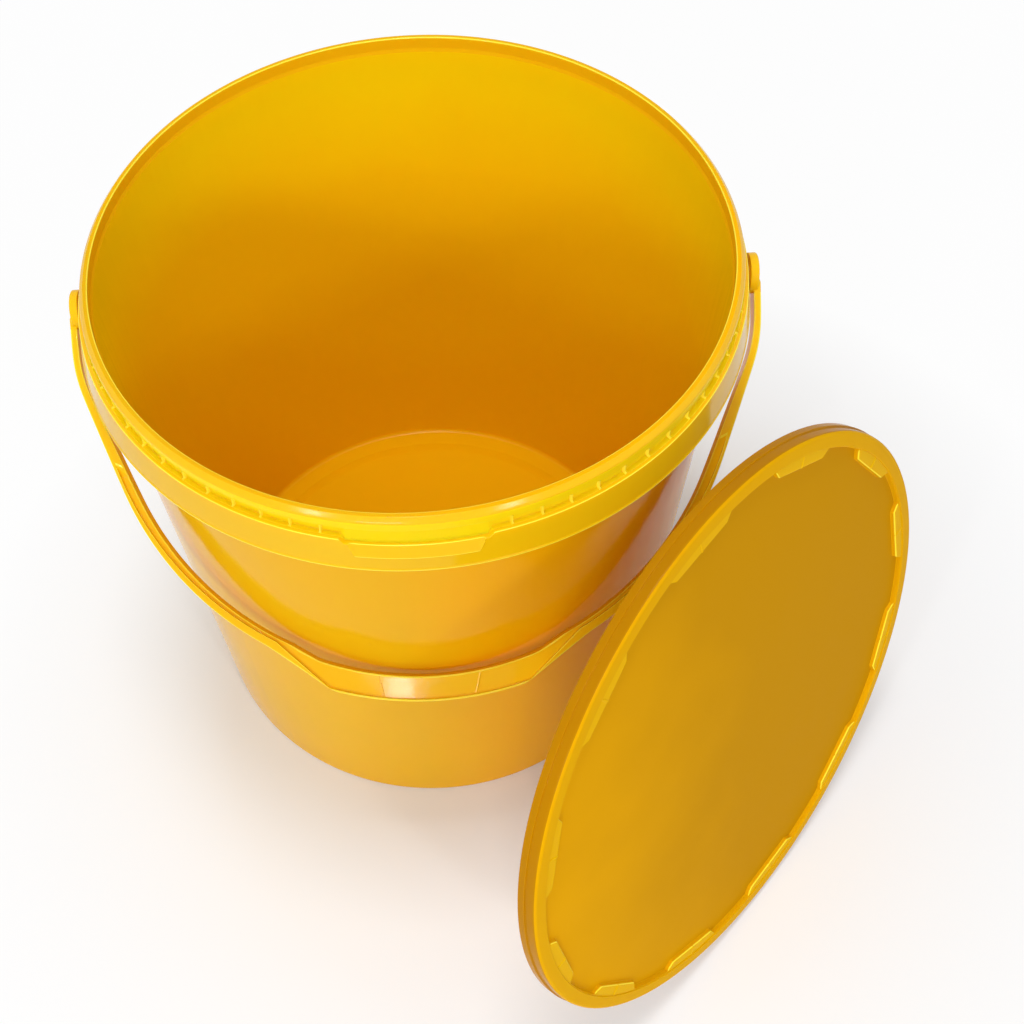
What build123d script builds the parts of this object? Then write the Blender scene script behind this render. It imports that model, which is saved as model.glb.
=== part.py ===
from build123d import *
import math
import os

# A twenty litre plastic honey bucket with its swinging handle and its lid.
# Millimetres, Z up. The bucket's axis is Z and its foot stands on Z = 0. The handle's
# pivots lie along X, and the notch in the bucket's collar faces -Y, the front.

# Bucket body
bucket_height = 316.5
lip_bore = 300.0
base_diameter = 278.0
wall_thickness = 1.9
floor_thickness = 2.6
foot_width = 20.0
foot_lift = 2.0
foot_slope = 2.0
base_chamfer = 1.5
floor_chamfer = 2.2

# Neck and sealing bead, depths measured down from the lip
neck_depth = 8.3
neck_step = 0.5
neck_slope = 2.0
neck_wall = 2.2
lip_flat = 1.2
bead_overhang = 2.2
bead_top_depth = 3.4
bead_under_depth = 5.8
neck_undercut_depth = 6.6

# Collar below the neck: a grooved ledge with an upstanding edge and a flared skirt
collar_depth = 11.7
collar_overhang = 2.9
collar_edge = 1.0
groove_depth = 1.2
ledge_thickness = 2.2
skirt_height = 17.0
skirt_flare = 3.2
skirt_thickness = 1.5
rib_count = 72
rib_width = 1.0
rib_drop = 0.2

# Finger notch in the collar, and the raised pad below it
notch_top_width = 66.8
notch_floor_width = 58.6
notch_depth = 2.3
pad_top_width = 56.8
pad_low_width = 52.2
pad_height = 6.5
pad_raise = 0.7

# Ears that carry the handle
pivot_depth = 30.0
ear_radius = 9.0
ear_rise = 12.0
ear_thickness = 3.2
ear_proud = 0.2
web_offset = 7.6
web_thickness = 2.0
web_drop = 10.0

# Handle
pin_diameter = 8.0
pin_clearance = 0.08
eye_gap = 0.4
eye_diameter = 19.2
eye_thickness = 4.0
eye_chamfer = 0.7
pin_head_gap = 0.4
pin_head_overhang = 1.2
pin_head_length = 3.0
pin_slot = 1.2
tang_thickness = 3.4
tang_proud = 1.5
tang_length = 32.0
handle_depth = 9.0
arm_inset = 4.5
arm_drop = 35.5
arm_width = 5.8
arm_outside_angle = 31.0
arm_inside_angle = 27.0
grip_bulge = 9.4
grip_width = 12.8
grip_outside_angle = 17.0
grip_inside_angle = 21.0
bend_round = 6.0
rail = 1.1
web = 4.6
channel_start_angle = 74.0
channel_end_angle = 29.0
channel_width = 4.6
channel_taper = 4.5
grip_recess_angle = 17.8
grip_rib_offset = 24.3
grip_rib_width = 0.8
grip_rib_height = 0.3
grip_wall_gap = 0.8

# Lid
lid_top = 1.6
lid_skirt_clearance = 0.5
lid_skirt_thickness = 1.5
lid_flange = 0.8
lid_flange_height = 3.8
snap_height = 1.0
snap_clearance = 0.3
snap_hold = 1.1
snap_lead = 0.8
plug_clearance = 0.4
plug_thickness = 1.5
plug_depth = 9.0
panel_depth = 3.0
panel_thickness = 1.6
recess_slope = 0.9
lid_chamfer = 1.0
lug_count = 12
lug_reach = 5.0
lug_root_angle = 17.4
lug_tip_angle = 14.4
lug_drop = 0.6
lug_turn = 3.5
lug_rib_width = 1.0
lug_rib_height = 0.3

# Where the lid stands beside the bucket
lid_bearing = 42.7
lid_lean = 16.0
lid_shift = -28.0
lid_gap = 2.5

# Radii and levels that follow from the sizes above
lip_r = lip_bore / 2
base_r = base_diameter / 2
neck_r = lip_r + neck_wall
bead_r = neck_r + bead_overhang
collar_r = bead_r + collar_overhang
skirt_r = collar_r + skirt_flare
collar_z = bucket_height - collar_depth
groove_z = collar_z - groove_depth
ledge_under_z = groove_z - ledge_thickness
skirt_z = collar_z - skirt_height
notch_z = collar_z - notch_depth
pivot_z = bucket_height - pivot_depth
neck_z = bucket_height - neck_depth
draft = (lip_r - neck_step + wall_thickness - base_r) / neck_z


def wall_outside(z):
    return base_r + draft * z


def skirt_outside(z):
    return collar_r + skirt_flare * (collar_z - z) / skirt_height


def revolved(*corners):
    return revolve(Plane.XZ * make_face(Polyline(*corners, close=True)), Axis.Z)


# Bucket: one section from the foot, up the outside, over the lip and down the inside
foot_r = base_r - foot_width
floor_z = foot_lift + floor_thickness
inside_r = base_r - wall_thickness
bucket = revolved(
    (0, foot_lift),
    (foot_r - foot_slope, foot_lift),
    (foot_r, 0),
    (base_r - base_chamfer, 0),
    (wall_outside(base_chamfer), base_chamfer),
    (wall_outside(ledge_under_z), ledge_under_z),
    (skirt_outside(ledge_under_z) - skirt_thickness, ledge_under_z),
    (skirt_r - skirt_thickness, skirt_z),
    (skirt_r, skirt_z),
    (collar_r, collar_z),
    (collar_r - collar_edge, collar_z),
    (collar_r - collar_edge, groove_z),
    (neck_r, groove_z),
    (neck_r, bucket_height - neck_undercut_depth),
    (bead_r, bucket_height - bead_under_depth),
    (bead_r, bucket_height - bead_top_depth),
    (lip_r + lip_flat, bucket_height),
    (lip_r, bucket_height),
    (lip_r, neck_z + neck_slope),
    (lip_r - neck_step, neck_z),
    (inside_r + draft * (floor_thickness + floor_chamfer), floor_thickness + floor_chamfer),
    (inside_r - floor_chamfer, floor_thickness),
    (foot_r + floor_thickness, floor_thickness),
    (foot_r - foot_slope + floor_thickness, floor_z),
    (0, floor_z),
)

# Short radial ribs across the groove of the ledge, left out over the notch
rib_root_r = neck_r - neck_wall / 2
rib_end_r = collar_r - collar_edge / 2
rib_height = groove_depth - rib_drop + ledge_thickness / 2
rib_z = collar_z - rib_drop - rib_height / 2
rib_pitch = 360 / rib_count
rib_block = Pos((rib_root_r + rib_end_r) / 2, 0, rib_z) * Box(rib_end_r - rib_root_r, rib_width, rib_height)
notch_half_angle = math.degrees(math.asin(notch_top_width / 2 / collar_r))
rib_turns = [-90 + rib_pitch * i for i in range(rib_count)]
rib_turns = [turn for turn in rib_turns if min(turn + 90, 270 - turn) > notch_half_angle]
bucket += [Rot(Z=turn) * rib_block for turn in rib_turns]


def front_block(top_width, low_width, top_z, low_z, reach):
    outline = Polyline(
        (-top_width / 2, top_z),
        (top_width / 2, top_z),
        (low_width / 2, low_z),
        (-low_width / 2, low_z),
        close=True,
    )
    return extrude(Plane.XZ * make_face(outline), reach)


# The notch opens the collar and the ledge as far as the neck. Its sides slope, and they
# run on above the collar's edge so that the cut is clear of it.
notch_slope = (notch_top_width - notch_floor_width) / notch_depth
notch_run_on = groove_depth
notch_cut = front_block(
    notch_top_width + notch_slope * notch_run_on,
    notch_floor_width,
    collar_z + notch_run_on,
    notch_z,
    skirt_r,
)
bucket -= notch_cut - Cylinder(neck_r, 2 * bucket_height)

# The pad stands proud of the skirt from the notch's floor down
pad_low_z = notch_z - pad_height
pad_ring = revolved(
    (skirt_outside(pad_low_z) - skirt_thickness / 2, pad_low_z),
    (skirt_outside(pad_low_z), pad_low_z),
    (skirt_outside(pad_low_z + pad_raise) + pad_raise, pad_low_z + pad_raise),
    (skirt_outside(notch_z) + pad_raise, notch_z),
    (skirt_outside(notch_z) - skirt_thickness / 2, notch_z),
)
bucket += pad_ring & front_block(pad_top_width, pad_low_width, notch_z, pad_low_z, 2 * skirt_r)

# Ears: a flat round-ended tab hangs from the skirt at each side, tied to the wall by two webs.
# Above the skirt's lower edge the tab stays inside the skirt.
ear_outer_x = skirt_r + ear_proud
ear_inner_x = ear_outer_x - ear_thickness
ear_face = Pos(0, pivot_z) * Circle(ear_radius) + Pos(0, pivot_z + ear_rise / 2) * Rectangle(2 * ear_radius, ear_rise)
ear = Pos(ear_inner_x, 0, 0) * extrude(Plane.YZ * ear_face, ear_thickness)
ear -= revolved(
    (skirt_r, skirt_z),
    (skirt_r + ear_thickness, skirt_z),
    (skirt_r + ear_thickness, collar_z),
    (collar_r, collar_z),
)
web_low_z = pivot_z - web_drop
web_start = wall_outside(web_low_z) - 2 * wall_thickness
web_outline = Polyline(
    (web_start, web_low_z),
    (ear_inner_x + ear_thickness / 2, pivot_z),
    (skirt_outside(ledge_under_z) - skirt_thickness / 2, ledge_under_z),
    (ear_inner_x - ear_thickness, ledge_under_z + ledge_thickness / 2),
    (web_start, ledge_under_z + ledge_thickness / 2),
    close=True,
)
ear_web = extrude(Plane.XZ * make_face(web_outline), web_thickness / 2, both=True)
ear += [Pos(0, side * web_offset, 0) * ear_web for side in (-1, 1)]
ear -= revolved(
    (0, floor_z),
    (wall_outside(floor_z) - wall_thickness, floor_z),
    (lip_r - neck_step, neck_z),
    (0, neck_z),
)
bucket += [ear, mirror(ear, Plane.YZ)]
pin_r = pin_diameter / 2
pivot_hole = Pos(ear_inner_x, 0, pivot_z) * Rot(Y=90) * Cylinder(pin_r + pin_clearance, 4 * ear_thickness)
bucket -= [pivot_hole, mirror(pivot_hole, Plane.YZ)]

# Handle, drawn flat: X along the pivots, -Y from the pivots to the grip
eye_inner_x = ear_outer_x + eye_gap
eye_outer_x = eye_inner_x + eye_thickness
tang_outer_x = eye_outer_x + tang_proud
tang_inner_x = tang_outer_x - tang_thickness
arm_outside_r = skirt_r - arm_inset
arm_inside_r = arm_outside_r - arm_width
grip_outside_r = arm_outside_r + grip_bulge
grip_inside_r = grip_outside_r - grip_width


def on_bow(drop, radius, angle):
    turn = math.radians(angle)
    return (radius * math.sin(turn), -drop - radius * math.cos(turn))


def bow(drop, radius, start, end):
    middle = (start + end) / 2
    ends = [on_bow(drop, radius, angle) for angle in (start, middle, end)]
    return ThreePointArc(*ends)


def joined(*edges):
    following = edges[1:] + edges[:1]
    links = [Line(edge @ 1, after @ 0) for edge, after in zip(edges, following)]
    return make_face([*edges, *links])


def touch_angle(drop, radius, point):
    across = point[0]
    beyond = -point[1] - drop
    return math.degrees(math.atan2(across, beyond) - math.acos(radius / math.hypot(across, beyond)))


# Each arm leaves its straight tang along a line that just touches the arm's bow
tang_outer_end = (tang_outer_x, -tang_length)
tang_inner_end = (tang_inner_x, -tang_length)
outside_touch = touch_angle(arm_drop, arm_outside_r, tang_outer_end)
inside_touch = touch_angle(arm_drop, arm_inside_r, tang_inner_end)
half_outline = joined(
    bow(arm_drop, grip_outside_r, 0, grip_outside_angle),
    bow(arm_drop, arm_outside_r, arm_outside_angle, outside_touch),
    Line(tang_outer_end, (tang_outer_x, 0)),
    Line((tang_inner_x, 0), tang_inner_end),
    bow(arm_drop, arm_inside_r, inside_touch, arm_inside_angle),
    bow(arm_drop, grip_inside_r, grip_inside_angle, 0),
)
bends = [
    on_bow(arm_drop, grip_outside_r, grip_outside_angle),
    on_bow(arm_drop, arm_outside_r, arm_outside_angle),
    on_bow(arm_drop, arm_inside_r, arm_inside_angle),
    on_bow(arm_drop, grip_inside_r, grip_inside_angle),
    tang_outer_end,
    tang_inner_end,
]
half_outline = fillet([half_outline.vertices().sort_by_distance(bend)[0] for bend in bends], bend_round)
half_handle = extrude(half_outline, handle_depth / 2, both=True)

# A channel in both faces runs beside the inner rail of each arm, narrowing as it goes, then
# opens out across the grip until only a thin rail is left on either side of it
channel_drop = arm_drop - channel_taper
channel_r = arm_inside_r + rail + channel_width
channel = joined(
    bow(arm_drop, grip_inside_r + rail, 0, grip_inside_angle),
    bow(arm_drop, arm_inside_r + rail, arm_inside_angle, channel_start_angle),
    bow(channel_drop, channel_r, channel_start_angle, channel_end_angle),
    bow(arm_drop, grip_outside_r - rail, grip_recess_angle, 0),
)
channel_cut = extrude(Plane.XY.offset(web / 2) * channel, (handle_depth - web) / 2)
half_handle -= [channel_cut, mirror(channel_cut, Plane.XY)]

# Two fine ribs cross the grip's recess
grip_rib_drop = -on_bow(arm_drop, grip_inside_r, math.degrees(math.asin(grip_rib_offset / grip_inside_r)))[1]
grip_rib = Box(grip_rib_width, grip_width - rail, web + 2 * grip_rib_height)
half_handle += Pos(grip_rib_offset, -grip_rib_drop - grip_width / 2, 0) * grip_rib

# Round eye with a slotted snap pin that passes inward through the ear
eye_disc = Cylinder(eye_diameter / 2, eye_thickness)
eye_disc = chamfer(eye_disc.edges().group_by(Axis.Z)[-1], eye_chamfer)
eye = Pos((eye_inner_x + eye_outer_x) / 2, 0, 0) * Rot(Y=90) * eye_disc
head_x = ear_inner_x - pin_head_gap
tip_x = head_x - pin_head_length
shank_length = eye_inner_x + eye_chamfer - head_x
eye += Pos(head_x + shank_length / 2, 0, 0) * Rot(Y=90) * Cylinder(pin_r, shank_length)
head = Cone(pin_r + pin_head_overhang, pin_r - pin_head_overhang / 2, pin_head_length)
eye += Pos((head_x + tip_x) / 2, 0, 0) * Rot(Y=-90) * head
slot_length = ear_outer_x - tip_x
eye -= Pos(tip_x + slot_length / 2, 0, 0) * Box(slot_length, eye_diameter, pin_slot)
half_handle += eye
handle = half_handle + mirror(half_handle, Plane.YZ)

# The handle hangs forward until the grip's inner edge meets the tapered wall
grip_reach = arm_drop + grip_inside_r
lever_out = grip_reach + draft * handle_depth / 2
lever_down = draft * grip_reach - handle_depth / 2
wall_at_pivot = wall_outside(pivot_z) + grip_wall_gap
hang_angle = math.atan2(lever_down, lever_out) + math.acos(wall_at_pivot / math.hypot(lever_out, lever_down))
handle = Pos(0, 0, pivot_z) * Rot(X=math.degrees(hang_angle)) * handle

# Lid, drawn flat: its ring lies at Z = 0 and its skirt and plug point down
lid_skirt_in = bead_r + lid_skirt_clearance
lid_skirt_out = lid_skirt_in + lid_skirt_thickness
lid_r = lid_skirt_out + lid_flange
snap_z = -(lid_top + neck_undercut_depth + snap_clearance)
lid_skirt_z = snap_z - snap_height
plug_r = lip_r - plug_clearance
plug_in = plug_r - plug_thickness
panel_under_z = -panel_depth - panel_thickness
lid = revolved(
    (0, -panel_depth),
    (plug_in, -panel_depth),
    (plug_in + recess_slope, 0),
    (lid_skirt_out - lid_chamfer, 0),
    (lid_skirt_out, -lid_chamfer),
    (lid_skirt_out, lid_skirt_z + lid_flange_height),
    (lid_r, lid_skirt_z + lid_flange_height),
    (lid_r, lid_skirt_z),
    (lid_skirt_in, lid_skirt_z),
    (lid_skirt_in - snap_hold, snap_z),
    (lid_skirt_in, snap_z + snap_lead),
    (lid_skirt_in, -lid_top),
    (plug_r, -lid_top),
    (plug_r, -plug_depth),
    (plug_in - recess_slope, -plug_depth),
    (plug_in - recess_slope, panel_under_z),
    (0, panel_under_z),
)

# Lugs stand inward from the ring at even turns, each crossed by a fine rib
lug_root_r = plug_in + recess_slope / 2
lug_tip_r = lug_root_r - lug_reach


def lug_corner(radius, angle):
    return (radius * math.cos(math.radians(angle)), radius * math.sin(math.radians(angle)))


lug_outline = Polyline(
    lug_corner(lug_root_r, -lug_root_angle / 2),
    lug_corner(lug_tip_r, -lug_tip_angle / 2),
    lug_corner(lug_tip_r, lug_tip_angle / 2),
    lug_corner(lug_root_r, lug_root_angle / 2),
    close=True,
)
lug_z = -panel_depth - panel_thickness / 2
lug = Pos(0, 0, lug_z) * extrude(make_face(lug_outline), -lug_drop - lug_z)
lug_rib_length = plug_in - lug_tip_r
lug_rib = Box(lug_rib_length, lug_rib_width, 2 * lug_rib_height)
lug += Pos(plug_in - lug_rib_length / 2, 0, -lug_drop) * lug_rib
lug_pitch = 360 / lug_count
lid += [Rot(Z=lug_turn + lug_pitch * i) * lug for i in range(lug_count)]

# The lid stands on its edge beside the bucket, leaning back, clear of the handle's swing
bearing = math.radians(lid_bearing)
lean = math.radians(lid_lean)
swing_reach = arm_outside_r + arm_drop * math.sin(bearing)
lid_out = swing_reach + lid_gap - lid_skirt_z * math.cos(lean) + lid_r * math.sin(lean)
lid_side = Vector(math.sin(bearing), math.cos(bearing), 0)
lid_away = Vector(math.cos(bearing), -math.sin(bearing), 0)
lid_height = lid_r * math.cos(lean) - lid_skirt_z * math.sin(lean)
lid_facing = lid_away * math.cos(lean) + Vector(0, 0, math.sin(lean))
lid_centre = lid_away * lid_out + lid_side * lid_shift + Vector(0, 0, lid_height)
lid = Plane(lid_centre, x_dir=lid_side, z_dir=lid_facing) * lid

os.makedirs("parts", exist_ok=True)
for name, piece in {"bucket": bucket, "handle": handle, "lid": lid}.items():
    piece.label = name
    export_step(piece, f"parts/{name}.step")
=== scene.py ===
# %% [markdown]
# # A yellow honey bucket with its handle and its lid
# The bucket is one injection moulded shell, the handle is a second moulding that clips into two
# ears under the collar, and the lid is a third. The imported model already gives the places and
# the sizes, so it is loaded first and its box is kept. Every piece below is drawn again with
# the small rounds and ribs that make moulded plastic look moulded.

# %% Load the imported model
import math

import bmesh
import bpy
import numpy as np
from mathutils import Matrix, Vector


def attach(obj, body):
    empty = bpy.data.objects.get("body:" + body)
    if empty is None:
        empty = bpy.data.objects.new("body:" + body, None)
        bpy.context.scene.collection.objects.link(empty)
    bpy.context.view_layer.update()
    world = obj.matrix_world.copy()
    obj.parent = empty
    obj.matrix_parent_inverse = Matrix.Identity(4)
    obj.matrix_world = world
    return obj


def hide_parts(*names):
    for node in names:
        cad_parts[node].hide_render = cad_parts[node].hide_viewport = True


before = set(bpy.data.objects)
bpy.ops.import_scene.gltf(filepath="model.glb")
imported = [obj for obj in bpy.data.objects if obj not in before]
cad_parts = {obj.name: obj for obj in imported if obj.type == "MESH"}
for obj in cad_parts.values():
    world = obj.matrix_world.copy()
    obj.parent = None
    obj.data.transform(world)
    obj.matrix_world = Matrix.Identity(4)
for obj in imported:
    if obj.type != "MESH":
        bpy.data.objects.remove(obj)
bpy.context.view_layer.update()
MM = 0.001

# %% [markdown]
# ## Softening a section
# A mould is cut with round tools, so no edge on the plastic is truly sharp. A bevel modifier
# could round the edges afterwards, but it stumbles where fine ribs meet. Here the section's
# corners are rounded before anything is turned, and all the sections round the bucket are
# handled in one array, so a rib or a notch is only a section whose corners have moved. A round
# never takes up more than a fixed share of the shorter side next to it.

# %% Round the corners of many sections at once
ARC_STEPS = 3
SIDE_SHARE = 0.45


def softened(corners, rounds):
    rows = []
    for i, radius in enumerate(rounds):
        corner = corners[:, i]
        if radius == 0:
            rows.append(corner)
            continue
        back = corners[:, i - 1] - corner
        ahead = corners[:, i + 1] - corner
        back_length = np.linalg.norm(back, axis=1, keepdims=True)
        ahead_length = np.linalg.norm(ahead, axis=1, keepdims=True)
        back = back / np.maximum(back_length, 1e-9)
        ahead = ahead / np.maximum(ahead_length, 1e-9)
        half = np.arccos(np.clip((back * ahead).sum(axis=1, keepdims=True), -0.9999, 0.9999)) / 2
        reach = np.minimum(radius / np.tan(half), SIDE_SHARE * np.minimum(back_length, ahead_length))
        start, end, pull = corner + back * reach, corner + ahead * reach, np.sin(half)
        for u in np.linspace(0, 1, ARC_STEPS + 1):
            a, b, c = (1 - u) ** 2, 2 * u * (1 - u) * pull, u * u
            rows.append((a * start + b * corner + c * end) / (a + b + c))
    return np.stack(rows, axis=1)


def section_of(corners, columns):
    reaches = np.stack([np.full(columns, r, float) for r, _, _ in corners], axis=1)
    heights = np.stack([np.full(columns, z, float) for _, z, _ in corners], axis=1)
    return softened(np.stack([reaches, heights], axis=-1), [radius for _, _, radius in corners])


print("each rounded corner becomes", ARC_STEPS + 1, "points")

# %% [markdown]
# ## From points to a piece
# All pieces are worked out in millimetres and made in metres, which is Blender's own unit. Points
# that fall together, as where a rib fades out, are welded, and faces that have shrunk to nothing
# are dissolved, so the mesh stays one closed skin. All its faces are then turned outward.

# %% Put a mesh in the scene
WELD = 1e-7


def placed(name, data):
    piece = bpy.data.objects.new(name, data)
    bpy.context.scene.collection.objects.link(piece)
    return piece


def shaped(name, points, faces):
    mesh = bpy.data.meshes.new(name)
    mesh.from_pydata((np.asarray(points) * MM).tolist(), [], faces)
    form = bmesh.new()
    form.from_mesh(mesh)
    bmesh.ops.remove_doubles(form, verts=form.verts, dist=WELD)
    bmesh.ops.dissolve_degenerate(form, edges=form.edges, dist=WELD)
    bmesh.ops.recalc_face_normals(form, faces=form.faces)
    form.to_mesh(mesh)
    form.free()
    return placed(name, mesh)


print("points closer than", WELD, "metres are welded")

# %% [markdown]
# ## Turning a section
# A bucket and its lid are turned shapes. The Screw modifier would turn one fixed section, but
# here the section changes as it goes round, so the mesh is laid out as a grid: one column of
# points for each turn and one row for each point of the section. The first and last points lie
# on the axis and close the shape with a fan.

# %% Make a closed mesh from a ring of sections
def turned(name, section, turns):
    columns, rows = section.shape[:2]
    ring = section[:, 1:-1]
    across = ring[..., 0]
    cosines, sines = np.cos(turns)[:, None], np.sin(turns)[:, None]
    grid = np.stack([across * cosines, across * sines, ring[..., 1]], axis=-1)
    poles = [[0, 0, section[0, 0, 1]], [0, 0, section[0, -1, 1]]]
    points = np.concatenate([grid.reshape(-1, 3), poles])
    inner = rows - 2
    low_pole, high_pole = columns * inner, columns * inner + 1
    faces = []
    for c in range(columns):
        here, after = c * inner, (c + 1) % columns * inner
        faces.append((low_pole, after, here))
        faces += [(here + r, after + r, after + r + 1, here + r + 1) for r in range(inner - 1)]
        faces.append((high_pole, here + inner - 1, after + inner - 1))
    return shaped(name, points, faces)


print("sections become closed meshes")

# %% [markdown]
# ## The bucket's levels
# These are the bucket's own sizes in millimetres: a lip bore of 300, a wall of about 2, a collar
# with a flared skirt below the neck, and a foot ring that keeps the floor off the ground. Most
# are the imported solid's. The neck, the underside of the bead, the groove and the land beside it
# are about a millimetre away from it, inside its box, to come closer to the photographed collar.

# %% Sizes of the bucket
LIP_Z, LIP_R, LIP_WIDTH = 316.5, 150.0, 2.2
BASE_R, WALL = 139.0, 1.9
NECK_Z, NECK_R = 308.2, 153.2
BEAD_R, BEAD_LOW, BEAD_SLOPE, BEAD_LEAD = 154.5, 309.6, 2.4, 0.6
COLLAR_R, COLLAR_Z = 157.3, 304.8
LAND_R, GROOVE_Z = 155.5, 304.4
LEDGE_Z, SKIRT_Z, SKIRT_R, SKIRT_WALL = 301.4, 287.8, 160.5, 1.5
ROLL, ROLL_IN = 0.8, 0.2
BORE_STEP, BORE_EASE = 0.5, 2.0
UNDERSIDE_Z, FOOT_IN_R, FOOT_R = 2.0, 117.0, 119.0
FLOOR_Z, FLOOR_EDGE_R, GUTTER_Z, GUTTER_R = 4.6, 117.5, 2.6, 125.0
DRAFT = (LIP_R - BORE_STEP + WALL - BASE_R) / NECK_Z


def wall_outside(z):
    return BASE_R + DRAFT * z


def skirt_outside(z):
    return COLLAR_R + (SKIRT_R - COLLAR_R) * (COLLAR_Z - z) / (COLLAR_Z - SKIRT_Z)


print("wall leans out by", round(math.degrees(math.atan(DRAFT)), 2), "degrees")

# %% [markdown]
# ## Where the sections stand
# The collar's groove is crossed by short ribs every five degrees, and the front of the collar is
# cut down into a finger notch with a raised pad below it. Columns of points are packed closely
# at a rib's flanks and at the ends of the pad and the notch, where the section changes fast, and
# stand wide apart in between, so the mesh spends its points where the eye looks.

# %% Turns of the bucket's columns
RIB_COUNT, RIB_PITCH = 72, 5.0
RIB_HALF_TOP, RIB_HALF_MIDDLE, RIB_HALF_FOOT = 0.11, 0.18, 0.25
rib_flank = [RIB_HALF_TOP, RIB_HALF_MIDDLE, RIB_HALF_FOOT]
rib_offsets = [-offset for offset in rib_flank] + rib_flank + [1.7, 3.3]
pad_end_offsets = [8.9, 9.2, 9.45, 9.6, 9.75, 10.15, 10.3, 10.45, 10.6]
notch_end_offsets = [10.75, 10.9, 11.05, 11.25, 11.5, 11.75, 11.95, 12.1]
bucket_turns = [RIB_PITCH * i + offset for i in range(RIB_COUNT) for offset in rib_offsets]
bucket_turns += [side * offset for side in (-1, 1) for offset in pad_end_offsets + notch_end_offsets]
bucket_turns = np.unique(np.round(np.array(bucket_turns) % 360, 4))
print("bucket columns:", len(bucket_turns))

# %% [markdown]
# ## Ribs, notch and pad
# On the real collar the ribs probably stiffen the groove, and the notch gives a finger room under
# the lid. They could be separate blocks joined on, but here each is one number per column: how
# far the rib has risen, how deep the notch is, how far the pad stands out. An eased step, flat at
# both ends, rounds the flanks of the ribs and the ends of the pad a little.

# %% Rise of the ribs, the notch and the pad at each column
RIB_OUT, RIB_LIFT = 1.2, 0.4
NOTCH_FLOOR_X, NOTCH_TOP_X, NOTCH_Z = 30.2, 32.6, 302.5
PAD_LOW_X, PAD_TOP_X, PAD_END = 26.1, 28.4, 0.4
PAD_LOW_Z, PAD_RAISE, PAD_FOOT_GAP, PAD_EDGE_GAP = 296.0, 0.7, 0.9, 0.3
FRONT_R, FRONT_TURN, FAR_AWAY = 157.5, 60, 999.0


def eased(amount):
    amount = np.clip(amount, 0, 1)
    return amount * amount * (3 - 2 * amount)


from_front = np.abs((bucket_turns + 180) % 360 - 180)
front_x = np.where(from_front < FRONT_TURN, FRONT_R * np.sin(np.radians(from_front)), FAR_AWAY)
rib_distance = np.abs((bucket_turns + RIB_PITCH / 2) % RIB_PITCH - RIB_PITCH / 2)
rib_rise = eased((RIB_HALF_FOOT - rib_distance) / (RIB_HALF_FOOT - RIB_HALF_TOP))
notch_line = np.interp(front_x, [NOTCH_FLOOR_X, NOTCH_TOP_X], [NOTCH_Z, COLLAR_Z])
rim_z = np.minimum(COLLAR_Z, notch_line)
notch_depth = (COLLAR_Z - rim_z) / (COLLAR_Z - NOTCH_Z)
rib_rise = rib_rise * (1 - notch_depth)
groove_z = np.minimum(GROOVE_Z + RIB_LIFT * rib_rise, rim_z)
pad_rise = PAD_RAISE * eased((PAD_TOP_X + PAD_END / 2 - front_x) / PAD_END)
pad_foot_z = np.interp(front_x, [PAD_LOW_X, PAD_TOP_X], [PAD_LOW_Z, NOTCH_Z - PAD_FOOT_GAP])
pad_edge_z = np.minimum(pad_foot_z + PAD_RAISE, NOTCH_Z - PAD_EDGE_GAP)
print("columns in the notch:", int((rim_z < COLLAR_Z).sum()), "on the pad:", int((pad_rise > 0).sum()))

# %% [markdown]
# ## The bucket's section
# The section runs from the middle of the underside, round the foot, up the wall, round the
# collar, over the bead that holds the lid, and down the inside to the floor. A corner is its
# distance from the axis, its height and its round: two millimetres where the wall meets the
# base, a few tenths on the ribs. A plain lathe profile would be shorter, but it could not carry
# the notch.

# %% The section up to the skirt
FAN_RADII = (0, 8, 40, 80)
WALL_STEP, WALL_TOP = 20, 300
foot_corners = [(r, UNDERSIDE_Z, 0) for r in FAN_RADII]
foot_corners += [(FOOT_IN_R, UNDERSIDE_Z, 1.0), (FOOT_R, 0, 0.8), (BASE_R, 0, 2.0)]
wall_corners = [(wall_outside(z), z, 0) for z in range(WALL_STEP, WALL_TOP, WALL_STEP)]
skirt_corners = [
    (wall_outside(LEDGE_Z), LEDGE_Z, 1.2),
    (skirt_outside(LEDGE_Z) - SKIRT_WALL, LEDGE_Z, 0.8),
    (SKIRT_R - SKIRT_WALL, SKIRT_Z, 0.4),
    (SKIRT_R, SKIRT_Z, 0.3),
    (SKIRT_R, SKIRT_Z + ROLL, 0.3),
    (skirt_outside(SKIRT_Z + 2 * ROLL) - ROLL_IN, SKIRT_Z + 2 * ROLL, 0.3),
]
print("corners up to the skirt:", len(foot_corners + wall_corners + skirt_corners))

# %% [markdown]
# ## The collar, the bead and the inside
# Only the collar's corners change from column to column. The rest are the same all round, so a
# single number stands for every column. Behind the notch the neck is filled out a little, so that
# the notch ends in a slope and not in a hole.

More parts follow.
